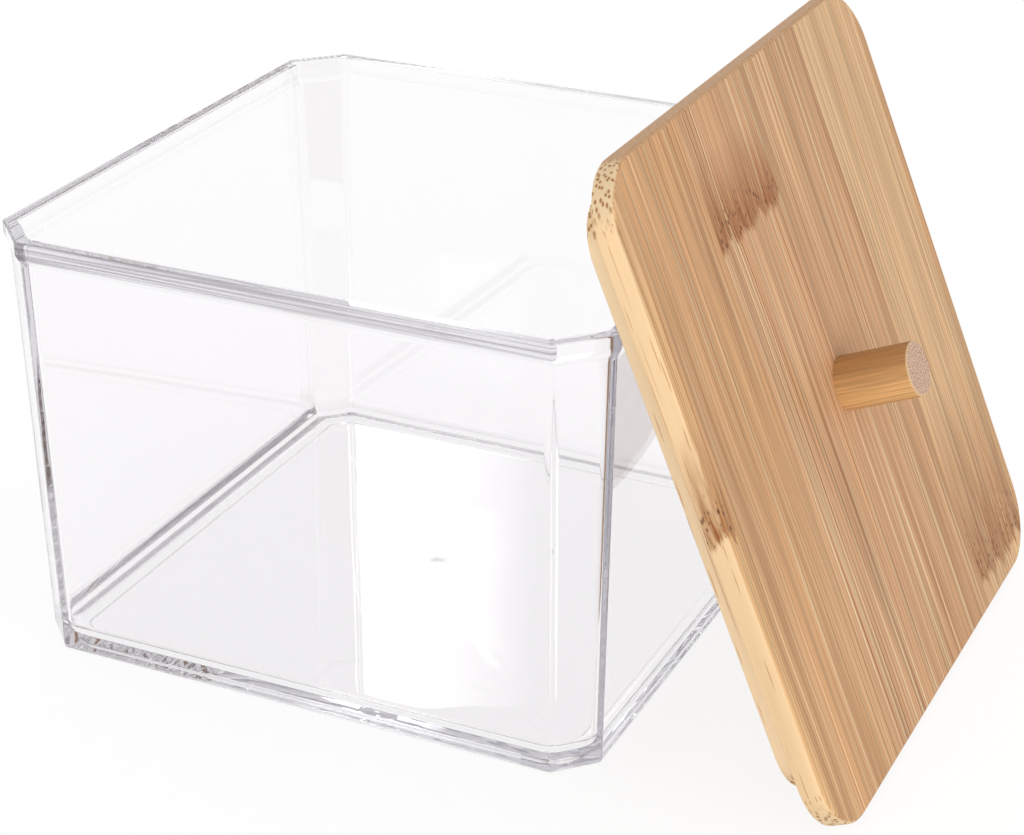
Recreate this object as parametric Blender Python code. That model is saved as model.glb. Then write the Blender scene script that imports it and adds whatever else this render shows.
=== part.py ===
"""Clear square storage box with cut corners, and its loose bamboo lid leaning on the rim.

Metres, +Z up, the table at Z 0. X runs along the front wall and Y to the back.
The origin is the middle of the footprint of the box and its leaning lid.
The box is one moulding, lofted through sections that are the same eight-sided outline,
drawn in from the rim by a different amount at each height. The lid is one bamboo panel
with a rebate milled round its back, and a dowel knob that a countersunk screw holds.
"""

import math

import bmesh
import bpy

# Box, measured across the outside of the rim
RIM_SIDE = 0.1100
BOX_HEIGHT = 0.0766
CORNER_LEG = 0.0078
BASE_DRAW_IN = 0.0025
WALL = 0.0020

# Rim: a flat land on top, a low lip outside and a shallow rebate inside
RIM_LAND = 0.0025
RIM_EDGE = 0.0003
LIP_PROUD = 0.00085
LIP_HEIGHT = 0.0019
LIP_FLARE = 0.0025
REBATE_DEPTH = 0.0032
REBATE_SLOPE = 0.0003

# Floor and foot
FLOOR = 0.0025
FLOOR_FILLET = 0.0034
BASE_EDGE = 0.0014
FOOT_WIDTH = 0.0060
FOOT_STEP = 0.0005
GATE_RADIUS = 0.0042
GATE_DEPTH = 0.0003

# Roundings of the upright corners
OUTER_CORNER = 0.0007
INNER_CORNER = 0.0021
FLOOR_CORNER = 0.0038
FOOT_CORNER = 0.0025

# Lid panel
LID_SIDE = 0.1104
LID_CORNER = 0.0110
BOARD = 0.0038
PLUG = 0.0049
PLUG_INSET = 0.0055
FACE_EASE = 0.0007
BACK_EASE = 0.0003

# Knob and its screw
KNOB_RADIUS = 0.0046
KNOB_HEIGHT = 0.0132
KNOB_CHAMFER = 0.0004
SCREW_HEAD_RADIUS = 0.0030
SCREW_HEAD_DEPTH = 0.0020
SCREW_HEAD_RIM = 0.0003
SCREW_SINK = 0.0003
SHANK_RADIUS = 0.0015
SCREW_BITE = 0.0085
SCREW_POINT = 0.0018
SCREW_TIP_RADIUS = 0.0003

# Where the lid leans
LID_LEAN = math.radians(67.5)
LID_SHIFT = 0.0012

# Fits
SEAT_GAP = 0.0003
OVERRUN = 0.0010
MERGE = 0.000005

# Facets
CORNER_STEPS = 5
FLARE_STEPS = 4
FILLET_STEPS = 6
EDGE_STEPS = 3
ROUND_STEPS = 32
SMOOTH_ANGLE = math.radians(28)

# A side drawn in by one length shortens the cut corner's leg by this many times that length
LEG_SHARE = 2 - math.sqrt(2)

# The largest rounding beside a cut corner, as a share of its leg: two of them just leave a flat between
ROUND_SHARE = 1.5

COLOURS = {
    "clear_box": (0.93, 0.94, 0.95, 1.0),
    "lid_panel": (0.68, 0.46, 0.26, 1.0),
    "knob": (0.60, 0.37, 0.17, 1.0),
    "knob_screw": (0.55, 0.55, 0.56, 1.0),
}


def clear_scene():
    for obj in list(bpy.data.objects):
        bpy.data.objects.remove(obj, do_unlink=True)


def make_material(name, roughness, metallic=0.0, transmission=0.0, ior=1.5):
    material = bpy.data.materials.new(name)
    material.use_nodes = True
    shader = material.node_tree.nodes["Principled BSDF"]
    shader.inputs["Base Color"].default_value = COLOURS[name]
    shader.inputs["Roughness"].default_value = roughness
    shader.inputs["Metallic"].default_value = metallic
    shader.inputs["Transmission Weight"].default_value = transmission
    shader.inputs["IOR"].default_value = ior
    return material


def finish_mesh(name, bm, material):
    """Turns the faces outwards, shades the rounds smooth and links the object."""
    bmesh.ops.recalc_face_normals(bm, faces=bm.faces)
    mesh = bpy.data.meshes.new(name)
    bm.to_mesh(mesh)
    bm.free()
    mesh.shade_smooth()
    mesh.set_sharp_from_angle(angle=SMOOTH_ANGLE)
    mesh.materials.append(material)
    obj = bpy.data.objects.new(name, mesh)
    bpy.context.collection.objects.link(obj)
    return obj


def rounded_outline(corners, radius, z):
    """A closed outline at height z through the corners of a convex shape, each rounded by radius."""
    points = []
    count = len(corners)
    for i, (x, y) in enumerate(corners):
        before = corners[i - 1]
        after = corners[(i + 1) % count]
        angle_in = math.atan2(y - before[1], x - before[0])
        angle_out = math.atan2(after[1] - y, after[0] - x)
        turn = (angle_out - angle_in) % math.tau
        tangent = radius * math.tan(turn / 2)
        centre_x = x - tangent * math.cos(angle_in) - radius * math.sin(angle_in)
        centre_y = y - tangent * math.sin(angle_in) + radius * math.cos(angle_in)
        for k in range(CORNER_STEPS + 1):
            angle = angle_in - math.pi / 2 + turn * k / CORNER_STEPS
            points.append((centre_x + radius * math.cos(angle), centre_y + radius * math.sin(angle), z))
    return points


def box_outline(inset, radius, z):
    """The rim's eight-sided outline, drawn in by inset on every side."""
    half = RIM_SIDE / 2 - inset
    leg = CORNER_LEG - LEG_SHARE * inset
    radius = min(radius, ROUND_SHARE * leg)
    short = half - leg
    corners = [
        (half, -short), (half, short), (short, half), (-short, half),
        (-half, short), (-half, -short), (-short, -half), (short, -half),
    ]
    return rounded_outline(corners, radius, z)


def square_outline(half, radius, z):
    return rounded_outline([(half, -half), (half, half), (-half, half), (-half, -half)], radius, z)


def loft(name, sections, material):
    """Skins the sections in order, point to point, and fills the first and the last."""
    bm = bmesh.new()
    rings = [[bm.verts.new(p) for p in points] for points in sections]
    for lower, upper in zip(rings, rings[1:]):
        for i in range(len(lower)):
            bm.faces.new((lower[i - 1], lower[i], upper[i], upper[i - 1]))
    bm.faces.new(rings[0])
    bm.faces.new(rings[-1])
    return finish_mesh(name, bm, material)


def turned(name, profile, material):
    """Spins a profile of (radius, height) points about Z; its ends lie on the axis."""
    bm = bmesh.new()
    verts = [bm.verts.new((r, 0, z)) for r, z in profile]
    edges = [bm.edges.new(pair) for pair in zip(verts, verts[1:])]
    bmesh.ops.spin(
        bm, geom=verts + edges, cent=(0, 0, 0), axis=(0, 0, 1),
        angle=math.tau, steps=ROUND_STEPS, use_merge=True, use_duplicate=False,
    )
    bmesh.ops.remove_doubles(bm, verts=bm.verts, dist=MERGE)
    return finish_mesh(name, bm, material)


def cut_from(obj, cutter):
    """Takes the cutter's volume out of the object; the cutter itself is only a guide."""
    cutter.hide_render = True
    cutter.display_type = "WIRE"
    cut = obj.modifiers.new(cutter.name, "BOOLEAN")
    cut.operation = "DIFFERENCE"
    cut.solver = "EXACT"
    cut.object = cutter


def quarter(start, end, steps, hollow=False):
    """Points of a quarter ellipse from start to end: level first, or upright first where hollow."""
    points = []
    for k in range(steps + 1):
        a = math.pi / 2 * k / steps
        across = math.sin(a) if not hollow else 1 - math.cos(a)
        along = 1 - math.cos(a) if not hollow else math.sin(a)
        points.append((start[0] + (end[0] - start[0]) * across, start[1] + (end[1] - start[1]) * along))
    return points


def wall_inset(z):
    """How far the outer wall stands in from the rim's side at height z, below the flare."""
    flare_foot = BOX_HEIGHT - LIP_HEIGHT - LIP_FLARE
    return BASE_DRAW_IN + (LIP_PROUD - BASE_DRAW_IN) * z / flare_foot


def make_box():
    """The clear shell: underside, foot, wall, flare, lip, land, rebate, wall, fillet and floor."""
    sections = []
    foot_inner = BASE_DRAW_IN + FOOT_WIDTH
    sections.append(box_outline(foot_inner + FOOT_STEP, FOOT_CORNER, FOOT_STEP))
    sections.append(box_outline(foot_inner, FOOT_CORNER, 0))

    base_out = wall_inset(BASE_EDGE)
    for inset, z in quarter((base_out + BASE_EDGE, 0), (base_out, BASE_EDGE), EDGE_STEPS):
        sections.append(box_outline(inset, OUTER_CORNER, z))

    flare_foot = BOX_HEIGHT - LIP_HEIGHT - LIP_FLARE
    for k in range(FLARE_STEPS + 1):
        share = k / FLARE_STEPS
        swing = (1 - math.cos(math.pi * share)) / 2
        sections.append(box_outline(LIP_PROUD * (1 - swing), OUTER_CORNER, flare_foot + LIP_FLARE * share))

    for inset, z in quarter((0, BOX_HEIGHT - RIM_EDGE), (RIM_EDGE, BOX_HEIGHT), EDGE_STEPS, hollow=True):
        sections.append(box_outline(inset, OUTER_CORNER, z))
    for inset, z in quarter((RIM_LAND - RIM_EDGE, BOX_HEIGHT), (RIM_LAND, BOX_HEIGHT - RIM_EDGE), EDGE_STEPS):
        sections.append(box_outline(inset, INNER_CORNER, z))

    ledge = BOX_HEIGHT - REBATE_DEPTH
    below_ledge = ledge - REBATE_SLOPE
    sections.append(box_outline(RIM_LAND, INNER_CORNER, ledge))
    sections.append(box_outline(LIP_PROUD + WALL, INNER_CORNER, below_ledge))
    sections.append(box_outline(LIP_PROUD + WALL, INNER_CORNER, flare_foot))

    fillet_top = FLOOR + FLOOR_FILLET
    inner = wall_inset(fillet_top) + WALL
    arc = quarter((inner, fillet_top), (inner + FLOOR_FILLET, FLOOR), FILLET_STEPS, hollow=True)
    for k, (inset, z) in enumerate(arc):
        radius = INNER_CORNER + (FLOOR_CORNER - INNER_CORNER) * k / FILLET_STEPS
        sections.append(box_outline(inset, radius, z))
    box = loft("clear_box", sections, make_material("clear_box", 0.03, transmission=1.0, ior=1.59))

    profile = [
        (0, FOOT_STEP + GATE_DEPTH),
        (GATE_RADIUS - GATE_DEPTH, FOOT_STEP + GATE_DEPTH),
        (GATE_RADIUS + OVERRUN, FOOT_STEP - OVERRUN),
        (0, FOOT_STEP - OVERRUN),
    ]
    cutter = turned("gate_mark_cutter", profile, box.data.materials[0])
    cut_from(box, cutter)
    return box, cutter


def make_lid_panel():
    """The panel in its own frame: Z 0 is the rebate's level, the board above it and the plug below."""
    half = LID_SIDE / 2
    plug_half = half - PLUG_INSET
    plug_corner = LID_CORNER - PLUG_INSET / 2
    sections = []
    for inset, z in quarter((BACK_EASE, -PLUG), (0, BACK_EASE - PLUG), EDGE_STEPS):
        sections.append(square_outline(plug_half - inset, plug_corner - inset, z))
    sections.append(square_outline(plug_half, plug_corner, 0))
    for inset, z in quarter((BACK_EASE, 0), (0, BACK_EASE), EDGE_STEPS):
        sections.append(square_outline(half - inset, LID_CORNER - inset, z))
    for inset, z in quarter((0, BOARD - FACE_EASE), (FACE_EASE, BOARD), EDGE_STEPS, hollow=True):
        sections.append(square_outline(half - inset, LID_CORNER - inset, z))
    panel = loft("lid_panel", sections, make_material("lid_panel", 0.55))

    head_top = SCREW_SINK - PLUG
    cutter = turned(
        "screw_hole_cutter",
        [
            (0, -PLUG - OVERRUN),
            (SCREW_HEAD_RADIUS + SEAT_GAP, -PLUG - OVERRUN),
            (SCREW_HEAD_RADIUS + SEAT_GAP, head_top + SCREW_HEAD_RIM + SEAT_GAP),
            (SHANK_RADIUS + SEAT_GAP, head_top + SCREW_HEAD_DEPTH + SEAT_GAP),
            (SHANK_RADIUS + SEAT_GAP, BOARD + OVERRUN),
            (0, BOARD + OVERRUN),
        ],
        panel.data.materials[0],
    )
    cut_from(panel, cutter)
    return panel, cutter


def make_knob():
    """A plain dowel with an eased end, standing on the board's face over its blind pilot hole."""
    foot = BOARD + SEAT_GAP
    top = BOARD + KNOB_HEIGHT
    bore = SHANK_RADIUS + SEAT_GAP
    bore_top = BOARD + SCREW_BITE + SEAT_GAP
    profile = [
        (0, bore_top),
        (bore, bore_top),
        (bore, foot),
        (KNOB_RADIUS, foot),
        (KNOB_RADIUS, top - KNOB_CHAMFER),
        (KNOB_RADIUS - KNOB_CHAMFER, top),
        (0, top),
    ]
    return turned("knob", profile, make_material("knob", 0.5))


def make_screw():
    """A countersunk screw, its head sunk just under the plug's back face."""
    head = SCREW_SINK - PLUG
    tip = BOARD + SCREW_BITE
    profile = [
        (0, head),
        (SCREW_HEAD_RADIUS, head),
        (SCREW_HEAD_RADIUS, head + SCREW_HEAD_RIM),
        (SHANK_RADIUS, head + SCREW_HEAD_DEPTH),
        (SHANK_RADIUS, tip - SCREW_POINT),
        (SCREW_TIP_RADIUS, tip),
        (0, tip),
    ]
    return turned("knob_screw", profile, make_material("knob_screw", 0.3, metallic=1.0))


def lid_place():
    """Where the lid's own origin lies, seen from the middle of the box, and how far the lid reaches.

    The board's lower back edge stands on the table and the plug's back rests on the rim's outer edge.
    """
    sine = math.sin(LID_LEAN)
    cosine = math.cos(LID_LEAN)
    rounding = sine + cosine - 1
    half = LID_SIDE / 2
    height = half * sine - BACK_EASE * rounding
    rim_x = RIM_SIDE / 2 - RIM_EDGE
    rim_z = BOX_HEIGHT - RIM_EDGE
    across = (rim_x * sine + (rim_z - height) * cosine + RIM_EDGE + SEAT_GAP + PLUG) / sine
    reach = across + half * cosine + BOARD * sine - FACE_EASE * rounding
    return across, height, reach


def main():
    clear_scene()
    across, height, reach = lid_place()
    box_x = (RIM_SIDE / 2 - reach) / 2
    box_y = (RIM_SIDE - LID_SIDE) / 4 - LID_SHIFT / 2

    for piece in make_box():
        piece.location = (box_x, box_y, 0)

    lid = bpy.data.objects.new("lid_frame", None)
    bpy.context.collection.objects.link(lid)
    lid.location = (box_x + across, box_y + LID_SHIFT, height)
    lid.rotation_euler = (0, LID_LEAN, 0)
    panel, cutter = make_lid_panel()
    for piece in (panel, cutter, make_knob(), make_screw()):
        piece.parent = lid


main()
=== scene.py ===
"""Looks of a clear square storage box and its loose bamboo lid, which leans on the rim.

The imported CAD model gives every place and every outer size. One Geometry Nodes tree lofts the box, the
lid panel, the knob and the screw again with finer roundings.
Metres, +Z up, the table at Z 0, X along the front wall, Y to the back.
"""

import functools
import math

import bpy
from mathutils import Matrix, Vector


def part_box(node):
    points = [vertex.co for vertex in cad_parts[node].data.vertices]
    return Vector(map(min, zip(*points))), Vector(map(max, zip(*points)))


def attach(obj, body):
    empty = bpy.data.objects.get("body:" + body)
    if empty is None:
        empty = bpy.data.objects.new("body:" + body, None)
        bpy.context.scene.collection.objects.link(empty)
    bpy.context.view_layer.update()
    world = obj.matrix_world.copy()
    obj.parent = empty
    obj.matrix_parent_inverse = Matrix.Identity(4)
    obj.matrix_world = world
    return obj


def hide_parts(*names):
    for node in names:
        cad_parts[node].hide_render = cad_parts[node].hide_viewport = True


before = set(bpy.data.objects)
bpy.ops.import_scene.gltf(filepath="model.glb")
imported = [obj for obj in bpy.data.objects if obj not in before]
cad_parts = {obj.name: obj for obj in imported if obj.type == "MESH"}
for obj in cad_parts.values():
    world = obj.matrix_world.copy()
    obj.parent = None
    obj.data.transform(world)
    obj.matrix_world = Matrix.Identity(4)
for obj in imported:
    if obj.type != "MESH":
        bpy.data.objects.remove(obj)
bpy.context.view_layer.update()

bl_info = {
    "name": "Clear Storage Box With Bamboo Lid",
    "version": (1, 0, 0),
    "blender": (4, 5, 0),
    "location": "View3D > Sidebar > Storage Box",
    "description": "Builds a clear moulded box, its bamboo lid, the knob, the screw and a plain stage",
    "category": "Object",
}

# The lid's own frame: X down the slope, Y along the rim, Z out of the face, Z 0 at the rebate
LID_LEAN = math.radians(67.5)
PLUG_DEPTH = 0.0049
LID_TURN = Matrix.Rotation(LID_LEAN, 4, "Y")


def lid_extent(node):
    """Lowest and highest corner of a CAD node in the lid's directions."""
    points = [LID_TURN.inverted() @ v.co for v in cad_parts[node].data.vertices]
    low = Vector([min(p[i] for p in points) for i in range(3)])
    high = Vector([max(p[i] for p in points) for i in range(3)])
    return low, high


BOX_LOW, BOX_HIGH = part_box("clear_box")
RIM_SIDE = BOX_HIGH.x - BOX_LOW.x
BOX_HEIGHT = BOX_HIGH.z
BOX_MIDDLE = Vector(((BOX_LOW.x + BOX_HIGH.x) / 2, (BOX_LOW.y + BOX_HIGH.y) / 2, 0))
PANEL_LOW, PANEL_HIGH = lid_extent("lid_panel")
KNOB_LOW, KNOB_HIGH = lid_extent("knob")
SCREW_LOW, SCREW_HIGH = lid_extent("knob_screw")
LID_SIDE = PANEL_HIGH.y - PANEL_LOW.y
LID_ORIGIN = Vector((
    (PANEL_LOW.x + PANEL_HIGH.x) / 2, (PANEL_LOW.y + PANEL_HIGH.y) / 2, PANEL_LOW.z + PLUG_DEPTH,
))
LID_MIDDLE = LID_TURN @ LID_ORIGIN
LID_PLACE = Matrix.Translation(LID_MIDDLE) @ LID_TURN
BOARD = PANEL_HIGH.z - LID_ORIGIN.z
KNOB_RADIUS = (KNOB_HIGH.y - KNOB_LOW.y) / 2
KNOB_TOP = KNOB_HIGH.z - LID_ORIGIN.z
SCREW_RADIUS = (SCREW_HIGH.y - SCREW_LOW.y) / 2
SCREW_HEAD = SCREW_LOW.z - LID_ORIGIN.z
SCREW_TIP = SCREW_HIGH.z - LID_ORIGIN.z

ROOT_TWO = math.sqrt(2)


def hex_colour(code):
    """Linear colour from an sRGB hex code such as C98B52."""
    values = [int(code[i:i + 2], 16) / 255 for i in (0, 2, 4)]
    linear = [v / 12.92 if v <= 0.04045 else ((v + 0.055) / 1.055) ** 2.4 for v in values]
    return (*linear, 1.0)


def length(name, description, default):
    """A size in metres, shown in the scene's unit."""
    return bpy.props.FloatProperty(
        name=name, description=description, default=default, min=0, unit="LENGTH", precision=5
    )


def colour(name, description, code):
    """A colour given as an sRGB hex code."""
    return bpy.props.FloatVectorProperty(
        name=name, description=description, default=hex_colour(code), size=4, min=0, max=1, subtype="COLOR"
    )


class BoxSizes(bpy.types.PropertyGroup):
    side: length("Rim side", "Width of the box across the outside of its rim", RIM_SIDE)
    height: length("Height", "Height of the rim above the table", BOX_HEIGHT)
    corner_leg: length("Corner leg", "How far each cut corner runs along a side of the rim", 0.0078)
    draw_in: length("Draw-in", "How far the walls lean in from the rim to the base", 0.0025)
    wall: length("Wall", "Thickness of the walls", 0.0020)
    rim_land: length("Rim land", "Width of the flat land on top of the rim", 0.0025)
    rim_edge: length("Rim edge", "Rounding of the land's two edges", 0.0003)
    lip_proud: length("Lip", "How far the lip stands out from the wall", 0.00085)
    lip_height: length("Lip height", "Height of the upright lip", 0.0019)
    lip_flare: length("Lip flare", "Height of the curve from the wall out to the lip", 0.0025)
    rebate: length("Rebate", "Depth of the rebate inside the rim", 0.0032)
    rebate_slope: length("Rebate slope", "Fall of the rebate's ledge towards the inside", 0.0010)
    rebate_round: length("Rebate rounding", "Rounding of the ledge's two edges", 0.0005)
    floor: length("Floor", "Thickness of the floor above the table", 0.0025)
    floor_fillet: length("Floor fillet", "Rounding between the walls and the floor inside", 0.0034)
    base_edge: length("Base edge", "Rounding of the outer edge at the table", 0.0014)
    foot_width: length("Foot width", "Width of the ring that the box stands on", 0.0060)
    foot_edge: length("Foot edge", "Rounding of that ring's inner edge", 0.0002)
    foot_step: length("Foot step", "How far the underside is raised inside that ring", 0.0005)
    gate_radius: length("Gate radius", "Radius of the dimple where the plastic was injected", 0.0042)
    gate_depth: length("Gate depth", "Depth of that dimple", 0.0003)
    outer_corner: length("Outer corner", "Rounding of the upright edges outside", 0.0007)
    inner_corner: length("Inner corner", "Rounding of the upright edges inside", 0.0021)
    floor_corner: length("Floor corner", "Rounding of the floor's corners", 0.0038)
    foot_corner: length("Foot corner", "Rounding of the underside's corners", 0.0025)


class LidSizes(bpy.types.PropertyGroup):
    side: length("Side", "Width of the square board", LID_SIDE)
    board: length("Board", "Thickness of the board above its rebate", BOARD)
    plug: length("Plug", "Depth of the part that drops into the rim", PLUG_DEPTH)
    plug_inset: length("Plug inset", "How far the plug stands in from the board's edge", 0.0055)
    corner: length("Corner", "Rounding of the board's corners", 0.0110)
    face_ease: length("Face ease", "Sanded rounding of the face's edge", 0.0007)
    back_ease: length("Back ease", "Sanded rounding of the other edges", 0.0003)
    rebate_round: length("Rebate rounding", "Rounding between the plug and the board", 0.0002)
    hole: length("Hole", "Radius of the screw's hole", 0.0018)
    strip: length("Strip", "Width of one pressed bamboo strip", 0.0262)


class KnobSizes(bpy.types.PropertyGroup):
    radius: length("Radius", "Radius of the dowel", KNOB_RADIUS)
    top: length("Top", "Height of the dowel's end above the lid's rebate", KNOB_TOP)
    chamfer: length("Chamfer", "Eased edge of the dowel's end", 0.0004)
    bore: length("Bore", "Radius of the screw's pilot hole", 0.0018)
    seat: length("Seat", "Gap between the dowel and the board", 0.00002)
    head_radius: length("Screw head radius", "Radius of the countersunk head", SCREW_RADIUS)
    head_depth: length("Screw head depth", "Height of the head's cone", 0.0020)
    head_rim: length("Screw head rim", "Height of the head's straight rim", 0.0003)
    recess_arm: length("Recess arm", "Reach of the cross recess from the middle of the head", 0.0017)
    recess_width: length("Recess width", "Width of the cross recess's arms", 0.0008)
    recess_depth: length("Recess depth", "Depth of the cross recess", 0.0010)
    shank: length("Shank", "Radius of the screw's shank", 0.0015)
    point: length("Point", "Length of the screw's tapered point", 0.0018)


class Finishes(bpy.types.PropertyGroup):
    plastic: colour("Plastic", "Body colour of the clear polystyrene", "FEFDFE")
    inner_tint: colour("Inner tint", "Grey of light that runs inside the plastic", "B8B4C0")
    # Painted shade: grey on the front of the lip and its two cut corners
    lip_front_painted_shade: colour("Lip front", "Greyer front of the lip", "88848E")
    fibre: colour("Bamboo fibre", "Darker colour of the bamboo's fibre bundles", "9C5B2A")
    edge: colour("Bamboo edge", "Paler colour of the sawn edges", "F3D0A2")
    # Painted light on the plug's sawn edge, which the board's overhang shades
    plug: colour("Plug edge", "Sawn edge of the plug, paler than the board's", "FFE4BC")
    edge_line: colour("Edge line", "Fine lines and nicks on the sawn edges", "B9763A")
    pith: colour("Pith", "Pale streaks between the fibre bundles", "E9CDA2")
    node: colour("Bamboo node", "Brown of the joints across a strip", "96531E")
    pit: colour("Joint pit", "Dark pits along a joint", "4A1C06")
    end_grain: colour("End grain", "Cream of the sawn end grain", "F0D3A8")
    pore: colour("Pore", "Bundles cut across in the end grain", "A0622E")
    straight_end_tan: colour("Worn end", "Tan of the straight sawn ends", "CC9C70")
    # Painted light below and painted shade above on the dowel's side
    dowel_painted_light: colour("Dowel light", "Golden side of the dowel", "E4B67C")
    dowel_painted_shade: colour("Dowel dark", "Brown skin side of the dowel", "B98A58")
    dowel_end: colour("Dowel end", "Sawn end of the dowel", "DDB79B")
    dowel_pore: colour("Dowel pore", "Bundles cut across in the dowel's end", "8F6350")
    dowel_rim: colour("Dowel rim", "Eased edge of the dowel's end", "E0BE98")
    zinc: colour("Zinc", "Zinc plating of the screw", "B9BDC2")
    floor: colour("Floor", "Plain floor of the stage", "F4F4F4")


def node(tree, kind, inputs=None, **settings):
    """Adds a node, sets its settings and fills its inputs.

    An input is named, or numbered among those in use, and takes a plain value, a socket, or a node, which
    stands for its first output in use.
    """
    made = tree.nodes.new(kind)
    for key, value in settings.items():
        setattr(made, key, value)
    in_use = [socket for socket in made.inputs if socket.enabled]
    for key, value in (inputs or {}).items():
        socket = in_use[key] if isinstance(key, int) else next(s for s in in_use if s.name == key)
        if isinstance(value, bpy.types.Node):
            value = next(s for s in value.outputs if s.enabled)
        if isinstance(value, bpy.types.NodeSocket):
            tree.links.new(value, socket)
        else:
            socket.default_value = value
    return made


def loft_tree():
    """Geometry Nodes tree that skins a list of eight-sided sections.

    Each point of the incoming mesh is one section: X is the distance from the middle to a side, Y the
    distance to a cut corner, Z the height, and the attribute corner_radius the rounding between them.
    Square and round sections are the cases where the cut just touches the rounding.
    """
    tree = bpy.data.node_groups.new("Rounded loft", "GeometryNodeTree")
    inputs = {"Sections": "Geometry", "Corner steps": "Int", "Merge": "Float", "Finish": "Material"}
    for name, kind in inputs.items():
        tree.interface.new_socket(name, in_out="INPUT", socket_type="NodeSocket" + kind)
    tree.interface.new_socket("Piece", in_out="OUTPUT", socket_type="NodeSocketGeometry")
    add = functools.partial(node, tree)
    given = add("NodeGroupInput").outputs

    # A flat grid with one row for each section and one column for each point of a corner's arc
    rows = add("GeometryNodeAttributeDomainSize", {0: given["Sections"]}).outputs["Point Count"]
    arc_points = add("ShaderNodeMath", {0: given["Corner steps"], 1: 1}, operation="ADD")
    around = add("ShaderNodeMath", {0: arc_points, 1: 8}, operation="MULTIPLY")
    columns = add("ShaderNodeMath", {0: around, 1: 1}, operation="ADD")
    grid = add("GeometryNodeMeshGrid", {
        "Size X": 1, "Size Y": 1, "Vertices X": columns, "Vertices Y": rows,
    })
    place = add("ShaderNodeSeparateXYZ", {0: add("GeometryNodeInputPosition")}).outputs
    along_x = add("ShaderNodeMath", {0: place["X"], 1: 0.5}, operation="ADD")
    column = add("ShaderNodeMath", {0: along_x, 1: around}, operation="MULTIPLY")
    column = add("ShaderNodeMath", {0: column}, operation="ROUND")
    along_y = add("ShaderNodeMath", {0: place["Y"], 1: 0.5}, operation="ADD")
    last_row = add("ShaderNodeMath", {0: rows, 1: 1}, operation="SUBTRACT")
    row = add("ShaderNodeMath", {0: along_y, 1: last_row}, operation="MULTIPLY")
    row = add("ShaderNodeMath", {0: row}, operation="ROUND")

    # The section that the row belongs to
    section = add(
        "GeometryNodeSampleIndex",
        {"Geometry": given["Sections"], "Value": add("GeometryNodeInputPosition"), "Index": row},
        data_type="FLOAT_VECTOR", domain="POINT",
    )
    size = add("ShaderNodeSeparateXYZ", {0: section}).outputs
    radius = add(
        "GeometryNodeSampleIndex",
        {
            "Geometry": given["Sections"],
            "Value": add("GeometryNodeInputNamedAttribute", {"Name": "corner_radius"}, data_type="FLOAT"),
            "Index": row,
        },
        data_type="FLOAT", domain="POINT",
    )

    # Which of the eight corners the column is on, and how far round its arc
    step = add("ShaderNodeMath", {0: column, 1: around}, operation="MODULO")
    corner = add("ShaderNodeMath", {0: step, 1: 0.5}, operation="ADD")
    corner = add("ShaderNodeMath", {0: corner, 1: arc_points}, operation="DIVIDE")
    corner = add("ShaderNodeMath", {0: corner}, operation="FLOOR")
    before = add("ShaderNodeMath", {0: corner, 1: arc_points}, operation="MULTIPLY")
    along = add("ShaderNodeMath", {0: step, 1: before}, operation="SUBTRACT")
    along = add("ShaderNodeMath", {0: along, 1: given["Corner steps"]}, operation="DIVIDE")
    angle = add("ShaderNodeMath", {0: corner, 1: along}, operation="ADD")
    angle = add("ShaderNodeMath", {0: angle, 1: math.pi / 4}, operation="MULTIPLY")
    odd = add("ShaderNodeMath", {0: corner, 1: 2}, operation="MODULO")
    pair = add("ShaderNodeMath", {0: corner, 1: odd}, operation="SUBTRACT")
    quarter_turn = add("ShaderNodeMath", {0: pair, 1: math.pi / 4}, operation="MULTIPLY")

    # Centre of the arc: first corner of a side, or its mirror image at the side's other end
    near = add("ShaderNodeMath", {0: size["X"], 1: radius}, operation="SUBTRACT")
    far = add("ShaderNodeMath", {0: size["Y"], 1: radius}, operation="SUBTRACT")
    far = add("ShaderNodeMath", {0: far, 1: ROOT_TWO}, operation="MULTIPLY")
    far = add("ShaderNodeMath", {0: far, 1: near}, operation="SUBTRACT")
    centre_x = add("ShaderNodeMix", {"Factor": odd, "A": near, "B": far}, data_type="FLOAT")
    centre_y = add("ShaderNodeMix", {"Factor": odd, "A": far, "B": near}, data_type="FLOAT")
    centre = add("ShaderNodeCombineXYZ", {0: centre_x, 1: centre_y, 2: size["Z"]})
    turned = add("ShaderNodeVectorRotate", {
        "Vector": centre, "Angle": quarter_turn,
    }, rotation_type="Z_AXIS")
    sideways = add("ShaderNodeMath", {0: angle}, operation="COSINE")
    upwards = add("ShaderNodeMath", {0: angle}, operation="SINE")
    arm = add("ShaderNodeCombineXYZ", {0: sideways, 1: upwards})
    arm = add("ShaderNodeVectorMath", {0: arm, "Scale": radius}, operation="SCALE")
    point = add("ShaderNodeVectorMath", {0: turned, 1: arm}, operation="ADD")

    skin = add("GeometryNodeSetPosition", {"Geometry": grid, "Position": point})
    closed = add("GeometryNodeMergeByDistance", {"Geometry": skin, "Distance": given["Merge"]})
    smooth = add("GeometryNodeSetShadeSmooth", {"Geometry": closed, "Shade Smooth": True})
    real = add("GeometryNodeRealizeInstances", {"Geometry": smooth})
    finished = add("GeometryNodeSetMaterial", {"Geometry": real, "Material": given["Finish"]})
    add("NodeGroupOutput", {0: finished})
    return tree


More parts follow.
